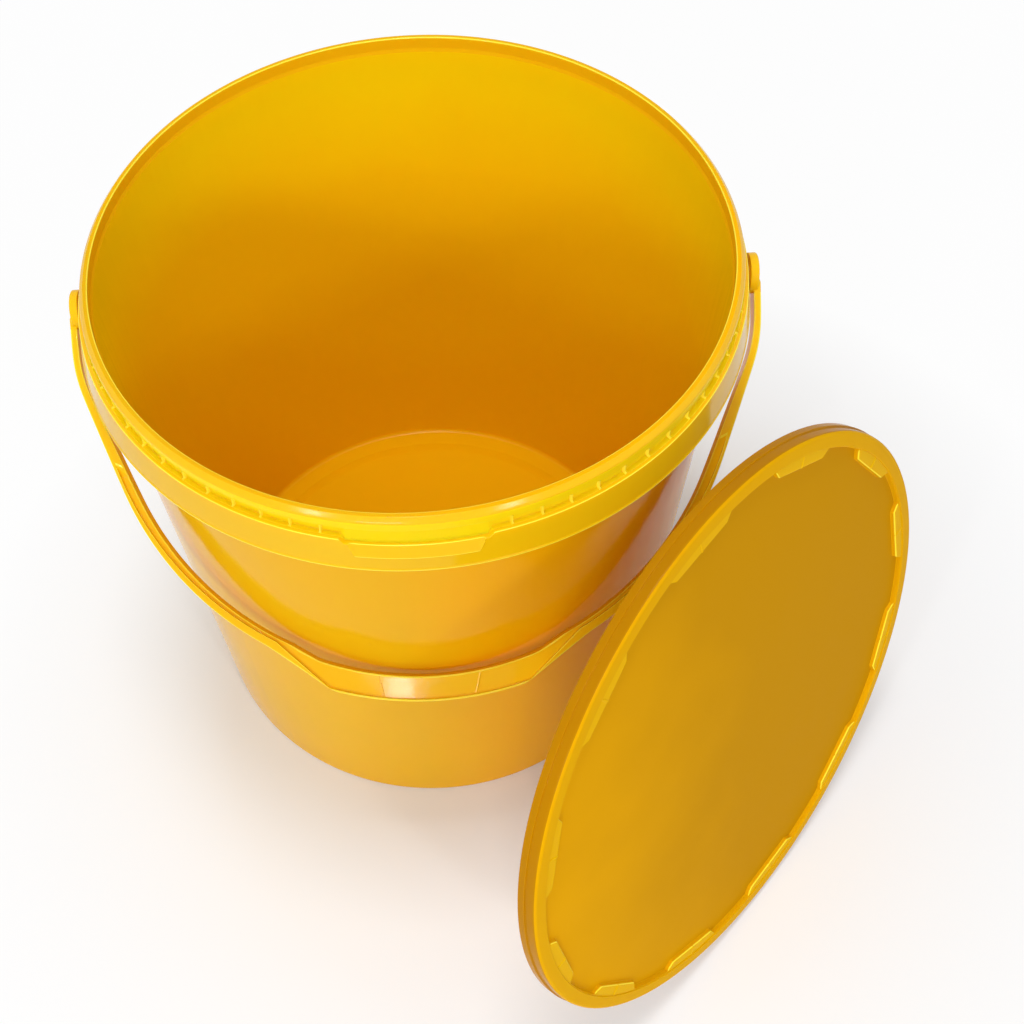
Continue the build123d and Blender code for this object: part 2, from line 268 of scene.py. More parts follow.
# %% The section from the collar to the floor
PAD_OUT, PAD_BACK = 1.5, 1.2
NOTCH_FILL_LOW, NOTCH_FILL_HIGH, NOTCH_STEP = 1.8, 0.8, 0.8
ribbed_neck = NECK_R + RIB_OUT * rib_rise
collar_corners = [
    (skirt_outside(pad_foot_z), pad_foot_z, 0.15),
    (skirt_outside(pad_edge_z) + PAD_OUT * pad_rise, pad_edge_z, 0.45),
    (skirt_outside(rim_z) - PAD_BACK * pad_rise, rim_z, 0.4),
    (LAND_R, rim_z, 0.35),
    (LAND_R, groove_z, 0.25),
    (ribbed_neck + NOTCH_FILL_LOW * notch_depth, groove_z + NOTCH_STEP * notch_depth, 0.5),
    (ribbed_neck + NOTCH_FILL_HIGH * notch_depth, BEAD_LOW - BEAD_LEAD, 0.3),
]
bead_corners = [
    (BEAD_R, BEAD_LOW, 0.35),
    (BEAD_R, LIP_Z - BEAD_SLOPE, 2.5),
    (LIP_R + LIP_WIDTH, LIP_Z, 0.5),
    (LIP_R, LIP_Z, 0.5),
    (LIP_R, NECK_Z + BORE_EASE, 0.8),
    (LIP_R - BORE_STEP, NECK_Z, 0.8),
]
inside_corners = [(wall_outside(z) - WALL, z, 0) for z in range(WALL_TOP, 0, -WALL_STEP)]
floor_corners = [(BASE_R - WALL, GUTTER_Z, 3.0), (GUTTER_R, GUTTER_Z, 5.0), (FLOOR_EDGE_R, FLOOR_Z, 5.0)]
floor_corners += [(r, FLOOR_Z, 0) for r in reversed(FAN_RADII)]
bucket_corners = foot_corners + wall_corners + skirt_corners + collar_corners
bucket_corners += bead_corners + inside_corners + floor_corners
bucket_section = section_of(bucket_corners, len(bucket_turns))
bucket = turned("bucket_shell", bucket_section, np.radians(bucket_turns - 90))
print("bucket shell:", len(bucket.data.polygons), "faces")

# %% [markdown]
# ## Joining solids
# The ears are moulded in one with the bucket, and the handle's eye in one with its arm. Two
# meshes that only pass through each other would show a false seam and make a poor solid for
# printing, so they are joined by a Boolean modifier with the exact solver, which is then
# applied, so that what is left is one plain mesh. A slab is an outline pushed out to its
# thickness, and its sharp edges can be broken by a small bevel.

# %% Join, cut and apply
SHARP = math.radians(40)


def combined(piece, other, operation):
    step = piece.modifiers.new("join", "BOOLEAN")
    step.operation = operation
    step.solver = "EXACT"
    step.object = other
    ready = piece.evaluated_get(bpy.context.evaluated_depsgraph_get())
    old = piece.data
    piece.data = bpy.data.meshes.new_from_object(ready)
    piece.modifiers.remove(step)
    bpy.data.meshes.remove(old)
    bpy.data.objects.remove(other)
    return piece


def slab(name, outline, thickness, bevel=0):
    form = bmesh.new()
    face = form.faces.new([form.verts.new(Vector(point) * MM) for point in outline])
    raised = bmesh.ops.extrude_face_region(form, geom=[face])["geom"]
    moved = [item for item in raised if isinstance(item, bmesh.types.BMVert)]
    bmesh.ops.translate(form, verts=moved, vec=Vector(thickness) * MM)
    bmesh.ops.recalc_face_normals(form, faces=form.faces)
    sharp = [edge for edge in form.edges if edge.calc_face_angle(0) > SHARP]
    if bevel:
        bmesh.ops.bevel(form, geom=sharp, offset=bevel * MM, segments=2, profile=0.5, affect="EDGES")
    mesh = bpy.data.meshes.new(name)
    form.to_mesh(mesh)
    form.free()
    return placed(name, mesh)


print("pieces that are moulded in one are joined into one mesh")

# %% [markdown]
# ## The ears
# Under the skirt on each side hangs a flat round-ended tab with a hole for the handle's pin. Two
# thin webs tie it back to the wall, and a root block carries it up into the skirt. All are slabs.
# The hole is cut once the ear has joined the bucket, because the skirt's lower edge reaches into
# it and would close its top again.

# %% One ear, then its twin
PIVOT_Z, EAR_OUT, EAR_IN, EAR_R = 286.5, 160.7, 157.5, 9.0
TAB_RISE, TAB_BEVEL, ARC_DEGREES = 0.7, 0.4, 6
ROOT_Y, ROOT_LOW, ROOT_HIGH, ROOT_THICK = 8.9, 287, 297, 1.2
WEB_Y, WEB_THICK, WEB_DROP, WEB_RISE, WEB_SINK = 7.6, 2, 10, 0.6, 1
WEB_SHOULDER_X, WEB_SHOULDER_DROP, WEB_TOP_X = 158.2, 3, 157.2
PIN_R, HOLE_R, BORE_LENGTH = 4.0, 4.08, 12


def ear_arc(x, radius, first, last):
    turns = [math.radians(turn) for turn in range(first, last, ARC_DEGREES)]
    return [(x, radius * math.cos(t), PIVOT_Z + radius * math.sin(t)) for t in turns]


def ear(side):
    face, top = side * EAR_IN, SKIRT_Z + TAB_RISE
    tab = ear_arc(face, EAR_R, 180, 361) + [(face, EAR_R, top), (face, -EAR_R, top)]
    whole = slab("ear", tab, (side * (EAR_OUT - EAR_IN), 0, 0), TAB_BEVEL)
    root = [(-ROOT_Y, ROOT_LOW), (ROOT_Y, ROOT_LOW), (ROOT_Y, ROOT_HIGH), (-ROOT_Y, ROOT_HIGH)]
    block = slab("ear_root", [(face, y, z) for y, z in root], (side * ROOT_THICK, 0, 0))
    combined(whole, block, "UNION")
    low, high = PIVOT_Z - WEB_DROP, LEDGE_Z + WEB_RISE
    edge = [
        (wall_outside(low) - WEB_SINK, low), (EAR_IN + WEB_SINK, PIVOT_Z),
        (WEB_SHOULDER_X, LEDGE_Z - WEB_SHOULDER_DROP), (WEB_TOP_X, high),
        (wall_outside(high) - WEB_SINK, high),
    ]
    for y in (-WEB_Y, WEB_Y):
        sheet = [(side * x, y - WEB_THICK / 2, z) for x, z in edge]
        combined(whole, slab("ear_web", sheet, (0, WEB_THICK, 0)), "UNION")
    return whole


def ear_bore(side):
    ring = ear_arc(side * (EAR_IN - BORE_LENGTH / 2), HOLE_R, 0, 360)
    return slab("ear_bore", ring, (side * BORE_LENGTH, 0, 0))


for side in (-1, 1):
    combined(bucket, ear(side), "UNION")
    combined(bucket, ear_bore(side), "DIFFERENCE")
print("bucket with its ears:", len(bucket.data.polygons), "faces")

# %% [markdown]
# ## The handle's line
# The handle is a flat bow. From the wide grip at the front it narrows through a short bend into
# a thin arm, and each arm ends in a straight tang that reaches past the ear. Drawn flat, its two
# edges are arcs and straight lines, given by radii and by angles from the middle of the grip. A
# Bezier curve could be bent by eye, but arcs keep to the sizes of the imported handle.

# %% Two edges, from the middle of the grip to one pivot
BOW_DROP, TANG_END = 35.5, 32.0
ARM_OUT, ARM_IN, GRIP_OUT, GRIP_IN = 156.0, 150.2, 165.4, 152.6
TANG_OUT, TANG_IN = 166.6, 163.2
GRIP_OUT_END, ARM_OUT_START, GRIP_IN_END, ARM_IN_START = 17, 31, 21, 27
GRIP_POINTS, LINE_POINTS, ARM_POINTS = 100, 60, 220


def on_bow(drop, radius, angle):
    turn = np.radians(angle)
    return np.stack([radius * np.sin(turn), drop + radius * np.cos(turn)], axis=-1)


def touch_angle(radius, x, y):
    away = math.hypot(x, y - BOW_DROP)
    return math.degrees(math.atan2(x, y - BOW_DROP) - math.acos(radius / away))


def straight(start, end):
    blend = np.linspace(0, 1, LINE_POINTS)[:, None]
    return start * (1 - blend) + end * blend


def edge_line(grip_r, grip_angle, arm_r, arm_angle, tang_x):
    touch = touch_angle(arm_r, tang_x, TANG_END)
    tang_start, tang_stop = np.array([tang_x, TANG_END]), np.array([tang_x, 0.0])
    grip = on_bow(BOW_DROP, grip_r, np.linspace(0, grip_angle, GRIP_POINTS))
    bend = straight(on_bow(BOW_DROP, grip_r, grip_angle), on_bow(BOW_DROP, arm_r, arm_angle))
    arm = on_bow(BOW_DROP, arm_r, np.linspace(arm_angle, touch, ARM_POINTS))
    reach = straight(on_bow(BOW_DROP, arm_r, touch), tang_start)
    tang = straight(tang_start, tang_stop)
    return np.concatenate([grip, bend[1:], arm[1:], reach[1:], tang[1:]])


outer_half = edge_line(GRIP_OUT, GRIP_OUT_END, ARM_OUT, ARM_OUT_START, TANG_OUT)
inner_half = edge_line(GRIP_IN, GRIP_IN_END, ARM_IN, ARM_IN_START, TANG_IN)
print("edge points on one half of the handle:", len(outer_half))

# %% [markdown]
# ## Rounding the handle's bends
# A real moulding has no kinks where a line meets an arc. Fillets would need a construction for
# every bend. Instead both edges are sampled every half millimetre, mirrored to the other half
# and evened out by a running average, over a short reach at the grip and a longer one where the
# arm runs into its tang.

# %% Even out both edges along the whole handle
STEP, BEND_REACH, TANG_REACH = 0.5, 9, 44
TANG_ZONE, TANG_FADE = 110, 30


def looked_up(at, run, line):
    return np.stack([np.interp(at, run, line[:, k]) for k in (0, 1)], axis=-1)


def smoothed(half, reach):
    whole = np.concatenate([half[:0:-1] * [-1, 1], half])
    lead = whole[0] + (whole[0] - whole[1:reach + 1][::-1])
    tail = whole[-1] + (whole[-1] - whole[-reach - 1:-1][::-1])
    padded = np.concatenate([lead, whole, tail])
    weights = np.hanning(2 * reach + 3)[1:-1]
    weights /= weights.sum()
    return np.stack([np.convolve(padded[:, k], weights, mode="valid") for k in (0, 1)], axis=-1)


def bent(half, near_tang):
    return smoothed(half, BEND_REACH) * (1 - near_tang) + smoothed(half, TANG_REACH) * near_tang


middle = (outer_half + inner_half) / 2
middle_run = np.concatenate([[0], np.cumsum(np.linalg.norm(np.diff(middle, axis=0), axis=1))])
half_run = np.arange(0, middle_run[-1], STEP)
handle_end = half_run[-1]
run_full = np.concatenate([-half_run[:0:-1], half_run])
near_tang = eased((np.abs(run_full) - handle_end + TANG_ZONE) / TANG_FADE)[:, None]
outer_full = bent(looked_up(half_run, middle_run, outer_half), near_tang)
inner_full = bent(looked_up(half_run, middle_run, inner_half), near_tang)
print("half of the handle is", round(handle_end, 1), "mm along its middle")

# %% [markdown]
# ## Stations along the handle
# The handle will be strung together from sections, so it needs places for them to stand. They
# are evenly spaced, with a few more at the flanks of the grip's two fine ribs and at the ends,
# where the shape changes within a millimetre.

# %% Where the handle's sections stand
STATION_STEP = 1.6
GRIP_RIB_X, ARC_STRETCH = 24.3, 1.003
GRIP_RIB_HALF, GRIP_RIB_FLANK, GRIP_RIB_RISE = 0.62, 0.3, 0.3
grip_rib_run = GRIP_RIB_X * ARC_STRETCH
grip_rib_offsets = np.array([-GRIP_RIB_HALF, -0.5, -0.3, 0.3, 0.5, GRIP_RIB_HALF])
end_offsets = np.array([0.25, 0.6, 1.0, 2.2])
stations = np.concatenate([
    np.arange(0, handle_end, STATION_STEP), [handle_end],
    grip_rib_run + grip_rib_offsets, handle_end - end_offsets,
])
stations = np.unique(np.concatenate([-stations, stations]).round(4))
outer = looked_up(stations, run_full, outer_full)
inner = looked_up(stations, run_full, inner_full)
width = np.linalg.norm(outer - inner, axis=1)
across = (outer - inner) / width[:, None]
print("stations:", len(stations))

# %% [markdown]
# ## The handle's channel
# To save plastic, a channel is sunk in both faces beside the inner rail. On an arm it is narrow
# and closes in towards the grip, then it opens across the whole grip and leaves a thin rail on
# either side. Cutting it with a Boolean could leave ragged ends where it runs out. Here its far
# wall is one line drawn in the same flat plan, and each station looks up where the line crosses.

# %% Where the channel's far wall crosses each station
RAIL, LEAST_CHANNEL, LEAST_RAIL = 1.1, 0.12, 0.5
CHANNEL_DROP, CHANNEL_R, CHANNEL_START, CHANNEL_END = 31.0, 155.9, 74.0, 29.0
GRIP_WALL_END, CHANNEL_OVERRUN = 17.8, 6
wall_line = np.concatenate([
    on_bow(BOW_DROP, GRIP_OUT - RAIL, np.linspace(0, GRIP_WALL_END, 120)),
    on_bow(CHANNEL_DROP, CHANNEL_R, np.linspace(CHANNEL_END, CHANNEL_START + CHANNEL_OVERRUN, 300)),
])


def far_wall(start, way):
    mirror = [np.sign(start[0]) or 1, 1]
    start, way = start * mirror, way * mirror
    offset = wall_line - start
    beside = offset[:, 0] * way[1] - offset[:, 1] * way[0]
    cross = np.nonzero(np.diff(np.sign(beside)))[0]
    if len(cross) == 0:
        return RAIL
    k = cross[0]
    u = beside[k] / (beside[k] - beside[k + 1])
    return float((offset[k] * (1 - u) + offset[k + 1] * u) @ way)


channel_far = np.array([far_wall(p, a) for p, a in zip(inner, across)])
channel_far = np.clip(channel_far, RAIL + LEAST_CHANNEL, width - LEAST_RAIL)
print("channel is", channel_far.min().round(2), "to", channel_far.max().round(2), "mm from the inner edge")

# %% [markdown]
# ## The handle's sections
# At each station a section stands square to the handle: a nine millimetre deep bar with the
# channel sunk in both faces. Where the channel starts, its floor rises to the face and it fades
# out, and two fine ribs cross the grip. Towards the eyes the bar narrows a little, so that it
# ends inside them.

# %% The section at each station
BAR_HALF, CHANNEL_HALF, CHANNEL_FADE = 4.5, 2.3, 3.0
END_FADE, END_NARROW = 5.0, 1.75
bow_angle = np.degrees(np.arctan2(np.abs(inner[:, 0]), inner[:, 1] - BOW_DROP))
grip_rib = eased((GRIP_RIB_HALF - np.abs(np.abs(stations) - grip_rib_run)) / GRIP_RIB_FLANK)
sunk = (BAR_HALF - CHANNEL_HALF) * eased((CHANNEL_START - bow_angle) / CHANNEL_FADE)
sunk = sunk - GRIP_RIB_RISE * grip_rib
width = width - END_NARROW * (1 - eased((handle_end - np.abs(stations)) / END_FADE))
zero = 0 * width
full, low = BAR_HALF + zero, BAR_HALF - sunk
near, far = RAIL + zero, np.minimum(channel_far, width - LEAST_RAIL)
loop = [
    (zero, -full), (zero, full), (near, full), (near, low), (far, low), (far, full),
    (width, full), (width, -full), (far, -full), (far, -low), (near, -low), (near, -full),
]
loop = np.stack([np.stack(pair, axis=-1) for pair in loop], axis=1)
bar_rounds = [0.6, 0.6, 0.5, 0.3, 0.3, 0.5, 0.7, 0.7, 0.5, 0.3, 0.3, 0.5]
wrapped = np.concatenate([loop[:, -1:], loop, loop[:, :1]], axis=1)
bar = softened(wrapped, [0] + bar_rounds + [0])[:, 1:-1]
print("points round each section:", bar.shape[1])

# %% [markdown]
# ## The handle's sweep
# The sections are strung together as a tube and closed at both ends. A curve with a bevel shape
# would sweep one fixed section, and this one changes all the way, so its faces are listed: each
# joins two neighbours in one section with the same two in the next.

# %% Build the bow
flat = inner[:, None, :] + across[:, None, :] * bar[..., :1]
bow_points = np.concatenate([flat[..., :1], -flat[..., 1:], bar[..., 1:]], axis=-1)
count, around = bow_points.shape[:2]
bow_faces = []
for i in range(count - 1):
    here, after = i * around, (i + 1) * around
    for j in range(around):
        k = (j + 1) % around
        bow_faces.append((here + j, here + k, after + k, after + j))
bow_faces += [tuple(range(around)), tuple(range((count - 1) * around, count * around))]
handle = shaped("bail_handle", bow_points.reshape(-1, 3), bow_faces)
print("handle bow:", count, "stations,", len(handle.data.polygons), "faces")

# %% [markdown]
# ## The eyes and their pins
# At each end a round eye lies flat against the ear, and a pin on it passes inward through the
# ear's hole. The pin ends in a tapered head, split by a slot so that it can be pressed through
# and spring open behind the ear. The eye and the pin are one turned shape, drawn upright and
# then laid along the line of the pins.

# %% Turn an eye with its pin, split it and join it to the bow
EYE_IN, EYE_OUT, EYE_R = 161.1, 165.1, 9.6
HEAD_X, TIP_X, HEAD_R, TIP_R = 157.1, 154.1, 5.2, 3.4
SLOT_HALF, SLOT_REACH, PIN_STEP = 0.6, 12, 5
pin_corners = [
    (0, TIP_X, 0), (TIP_R, TIP_X, 0.4), (HEAD_R, HEAD_X, 0.4), (PIN_R, HEAD_X, 0.15),
    (PIN_R, EYE_IN, 0.2), (EYE_R, EYE_IN, 0.3), (EYE_R, EYE_OUT, 0.8), (0, EYE_OUT, 0),
]
pin_turns = np.radians(np.arange(0, 360, PIN_STEP))
pin_section = section_of(pin_corners, len(pin_turns))
for side in (-1, 1):
    eye = turned("handle_eye", pin_section, pin_turns)
    eye.data.transform(Matrix(((0, 0, side, 0), (side, 0, 0, 0), (0, 1, 0, 0), (0, 0, 0, 1))))
    slot = [(side * (TIP_X - 1), y, -SLOT_HALF) for y in (-SLOT_REACH, SLOT_REACH)]
    slot += [(side * EAR_OUT, y, -SLOT_HALF) for y in (SLOT_REACH, -SLOT_REACH)]
    combined(eye, slab("pin_slot", slot, (0, 0, 2 * SLOT_HALF)), "DIFFERENCE")
    combined(handle, eye, "UNION")
print("handle with its eyes:", len(handle.data.polygons), "faces")

# %% [markdown]
# ## Hanging the handle
# The handle was drawn flat. In the photograph it hangs forward, about 37 degrees below level,
# and here its grip then stays about a millimetre off the wall. So the mesh is turned about the
# line through both pins. The mesh itself is moved and the object stays at the origin, as the
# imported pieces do.

# %% Turn the handle about its pins
HANG = math.radians(37.4561)
pin_line = Vector((0, 0, PIVOT_Z * MM))
handle.data.transform(Matrix.Translation(pin_line) @ Matrix.Rotation(HANG, 4, "X"))
print("grip hangs", round(math.degrees(HANG), 1), "degrees below level")

# %% [markdown]
# ## The lid's lugs
# Seen from above the lid has a flat ring, a sunk panel, and twelve lugs that stand inward from
# the ring, each with slanting ends and a fine rib across it. They could be twelve blocks joined
# on. As on the collar, they are instead a wall whose distance from the axis changes from column
# to column, so the lid stays one skin.

# %% Turns of the lid's columns
LUG_COUNT, LUG_PITCH = 12, 30.0
PANEL_Z, LUG_Z, RECESS_R, RING_IN = -3.0, -0.6, 148.1, 149.0
LUG_TIP_R, TIP_HALF, ROOT_HALF = 143.55, 7.2, 8.7
LUG_RIB_HALF, LUG_RIB_FLANK, LUG_RIB_RISE = 0.25, 0.13, 0.3
lug_half = [8.75, 8.55, 8.2, 7.7, 7.3, 7.1, 5.0, 2.5, LUG_RIB_HALF, 0.19, 0.12]
between_lugs = [10.5, 12.0, 13.5, 15.0, 16.5, 18.0, 19.5]
lug_offsets = sorted([-offset for offset in lug_half] + lug_half) + between_lugs
lid_turns = np.array([LUG_PITCH * i + offset for i in range(LUG_COUNT) for offset in lug_offsets])
from_lug = np.abs((lid_turns + LUG_PITCH / 2) % LUG_PITCH - LUG_PITCH / 2)
chord_r = LUG_TIP_R * math.cos(math.radians(TIP_HALF)) / np.cos(np.radians(np.minimum(from_lug, TIP_HALF)))
lug_side = np.clip((from_lug - TIP_HALF) / (ROOT_HALF - TIP_HALF), 0, 1)
wall_foot = np.where(from_lug < TIP_HALF, chord_r, LUG_TIP_R + (RECESS_R - LUG_TIP_R) * lug_side)
lug_top = LUG_Z + LUG_RIB_RISE * eased((LUG_RIB_HALF - from_lug) / LUG_RIB_FLANK)
print("lid columns:", len(lid_turns))

# %% [markdown]
# ## The lid's section
# Below the ring are the skirt that clips over the bead, with a holding ridge inside it, and the
# plug that fits inside the lip. The lid is turned as the bucket is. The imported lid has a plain
# chamfer along its top edge. Here that edge is round, with a radius large enough to stay inside
# the chamfer.

# %% Turn the lid
LID_R, LID_SIDE_R, LID_TOP_ROUND = 157.2, 156.4, 1.75
LID_SKIRT_Z, FLANGE_Z, LID_SKIRT_IN = -9.5, -5.7, 154.9
RIDGE_R, RIDGE_Z, RIDGE_LEAD_Z = 153.8, -8.5, -7.7
RING_UNDER_Z, PLUG_R, PLUG_IN_R, PLUG_Z, PANEL_UNDER_Z = -1.6, 149.6, 147.2, -9, -4.6
RECESS_SLOPE, LUG_SLOPE, LUG_TURN = 0.9, 0.35, 3.5
recess_top = RECESS_R + RECESS_SLOPE * (LUG_Z - PANEL_Z) / -PANEL_Z
wall_top = np.minimum(wall_foot + LUG_SLOPE, recess_top)
lid_corners = [(r, PANEL_Z, 0) for r in (0, 8, 50, 100, 135)]
lid_corners += [
    (wall_foot, PANEL_Z, 0.5), (wall_top, lug_top, 0.8), (recess_top, lug_top, 0.2), (RING_IN, 0, 0.3),
    (LID_SIDE_R, 0, LID_TOP_ROUND), (LID_SIDE_R, FLANGE_Z, 0.3), (LID_R, FLANGE_Z, 0.35),
    (LID_R, LID_SKIRT_Z, 0.35), (LID_SKIRT_IN, LID_SKIRT_Z, 0.3), (RIDGE_R, RIDGE_Z, 0.4),
    (LID_SKIRT_IN, RIDGE_LEAD_Z, 0.3), (LID_SKIRT_IN, RING_UNDER_Z, 0.4), (PLUG_R, RING_UNDER_Z, 0.5),
    (PLUG_R, PLUG_Z, 0.4), (PLUG_IN_R, PLUG_Z, 0.4), (PLUG_IN_R, PANEL_UNDER_Z, 0.5),
]
lid_corners += [(r, PANEL_UNDER_Z, 0) for r in (100, 50, 8, 0)]
lid = turned("clip_lid", section_of(lid_corners, len(lid_turns)), np.radians(lid_turns + LUG_TURN))
print("lid:", len(lid.data.polygons), "faces")

# %% [markdown]
# ## Standing the lid
# The lid stands on its edge beside the bucket and leans back, with its top to the viewer. It is
# kept just outside the swing of the handle. Its place is worked out from the swing's reach, the
# lean and the lid's own sizes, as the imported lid's is, so that its lower edge rests on the floor.

# %% Stand the lid beside the bucket
BEARING, LEAN = math.radians(42.7), math.radians(16)
LID_GAP, LID_SHIFT = 2.5, -28.0
lid_side = Vector((math.sin(BEARING), math.cos(BEARING), 0))
lid_away = Vector((math.cos(BEARING), -math.sin(BEARING), 0))
swing_reach = ARM_OUT + BOW_DROP * math.sin(BEARING)
lid_out = swing_reach + LID_GAP - LID_SKIRT_Z * math.cos(LEAN) + LID_R * math.sin(LEAN)
lid_height = LID_R * math.cos(LEAN) - LID_SKIRT_Z * math.sin(LEAN)
facing = lid_away * math.cos(LEAN) + Vector((0, 0, math.sin(LEAN)))
lid_centre = (lid_away * lid_out + lid_side * LID_SHIFT + Vector((0, 0, lid_height))) * MM
stand = Matrix((lid_side, facing.cross(lid_side), facing)).transposed().to_4x4()
lid.data.transform(Matrix.Translation(lid_centre) @ stand)
print("lid centre at", [round(value, 3) for value in lid_centre])

# %% [markdown]
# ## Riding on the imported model
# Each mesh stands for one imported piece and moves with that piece's body, so the handle still
# swings and the lid still lifts off. Faces are shaded smooth, apart from edges that turn by
# more than forty degrees, and a Weighted Normal modifier keeps the broad walls flat in shading
# right up to their small rounds.

# %% Tie the pieces to their bodies
for piece, node in ((bucket, "bucket"), (handle, "handle"), (lid, "lid")):
    piece.data.polygons.foreach_set("use_smooth", [True] * len(piece.data.polygons))
    piece.data.set_sharp_from_angle(angle=SHARP)
    even = piece.modifiers.new("even_shading", "WEIGHTED_NORMAL")
    even.keep_sharp = True
    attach(piece, node)
    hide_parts(node)
print("pieces on their bodies:", [piece.name for piece in (bucket, handle, lid)])

# %% [markdown]
# ## Building a finish
# A finish is a small web of nodes. This helper adds one node, sets its options and either joins
# or fills its sockets, so that the recipes below read as a list of what is mixed with what.
# Lengths in the recipes are in metres, because the pieces are.

# %% Add one node
def put(tree, kind, sockets, **options):
    made = tree.nodes.new("ShaderNode" + kind)
    for name, value in options.items():
        setattr(made, name, value)
    for name, value in sockets.items():
        if isinstance(value, bpy.types.NodeSocket):
            tree.links.new(value, made.inputs[name])
        else:
            made.inputs[name].default_value = value
    return made


def reckon(tree, first, second, operation):
    return put(tree, "Math", {0: first, 1: second}, operation=operation).outputs[0]


def spread(tree, value, low, high, bottom, top):
    limits = {"Value": value, "From Min": low, "From Max": high, "To Min": bottom, "To Max": top}
    return put(tree, "MapRange", limits).outputs["Result"]


def mixed(tree, share, first, second):
    mix = put(tree, "MixShader", {"Fac": share})
    tree.links.new(first.outputs[0], mix.inputs[1])
    tree.links.new(second.outputs[0], mix.inputs[2])
    return mix.outputs[0]


def empty_tree(owner):
    owner.use_nodes = True
    owner.node_tree.nodes.clear()
    return owner.node_tree


print("a finish is built node by node")

# %% [markdown]
# ## Moulded yellow plastic
# The plastic is taken to be a food grade polypropylene with a yellow pigment. It is glossy but
# not glassy, and a little light wanders inside it before it comes out again, so it needs some
# subsurface scattering. Three things keep it from looking like paint: a very fine orange peel
# from the mould, long draw marks left where the piece slid off its core, and clouds where the
# pigment is a touch deeper. All three come from noise in the piece's own coordinates. Where a
# finish is given a painted shade, its colour also darkens slowly along one direction.

# %% The plastic's recipe
CLOUD_SCALE, PEEL_SCALE, DRAW_SHARE = 11.0, 700.0, 0.5
RELIEF, RELIEF_DEPTH = 0.05, 0.0001
SMOOTHER, ROUGHER = 0.03, 0.04
CLOUD_SHARE, PAINTED_SHADE_LIT_END, PAINTED_SHADE_DARK_END = 0.4, 0.45, -0.3
PIGMENT_LOW, PIGMENT_HIGH = 0.3, 0.7
WANDER = (1.0, 0.75, 0.2)


# Pigment clouds give a random tone. A painted shade, when one is given, darkens the colour along one
# direction.
def pigment(tree, place, light_yellow, deep_yellow, painted_shade):
    clouds = put(tree, "TexNoise", {"Vector": place, "Scale": CLOUD_SCALE, "Detail": 3.0, "Roughness": 0.5})
    shade = clouds.outputs["Fac"]
    # Painted shade: the colour darkens towards the far end of the given direction.
    if painted_shade:
        way, near, far = painted_shade
        along = put(tree, "VectorMath", {0: place, 1: way}, operation="DOT_PRODUCT").outputs["Value"]
        fade = spread(tree, along, near, far, PAINTED_SHADE_LIT_END, PAINTED_SHADE_DARK_END)
        shade = reckon(tree, reckon(tree, shade, CLOUD_SHARE, "MULTIPLY"), fade, "ADD")
    ramp = put(tree, "ValToRGB", {"Fac": shade})
    deep, light = ramp.color_ramp.elements
    deep.position, light.position = PIGMENT_LOW, PIGMENT_HIGH
    deep.color, light.color = (*deep_yellow, 1), (*light_yellow, 1)
    return ramp.outputs["Color"]


def moulded_plastic(name, yellows, draw_scale, rough, bend, glow=0.3, depth=0.004, painted_shade=None):
    finish = bpy.data.materials.new(name)
    tree = empty_tree(finish)
    place = put(tree, "TexCoord", {}).outputs["Object"]
    colour = pigment(tree, place, *yellows, painted_shade)
    stretched = put(tree, "Mapping", {"Vector": place, "Scale": draw_scale}).outputs["Vector"]
    draws = put(tree, "TexNoise", {"Vector": stretched, "Scale": 1.0, "Detail": 3.0}).outputs["Fac"]
    peel = put(tree, "TexNoise", {"Vector": place, "Scale": PEEL_SCALE, "Detail": 2.0}).outputs["Fac"]
    relief = reckon(tree, reckon(tree, draws, DRAW_SHARE, "MULTIPLY"), peel, "ADD")
    bump = put(tree, "Bump", {"Height": relief, "Strength": RELIEF, "Distance": RELIEF_DEPTH})
    haze = spread(tree, draws, PIGMENT_LOW, PIGMENT_HIGH, rough - SMOOTHER, rough + ROUGHER)
    shader = put(tree, "BsdfPrincipled", {
        "Base Color": colour, "Roughness": haze, "Normal": bump.outputs["Normal"], "IOR": bend,
        "Subsurface Weight": glow, "Subsurface Scale": depth, "Subsurface Radius": WANDER,
    })
    put(tree, "OutputMaterial", {"Surface": shader.outputs["BSDF"]})
    return finish


print("recipe ready: pigment clouds, draw marks, orange peel")
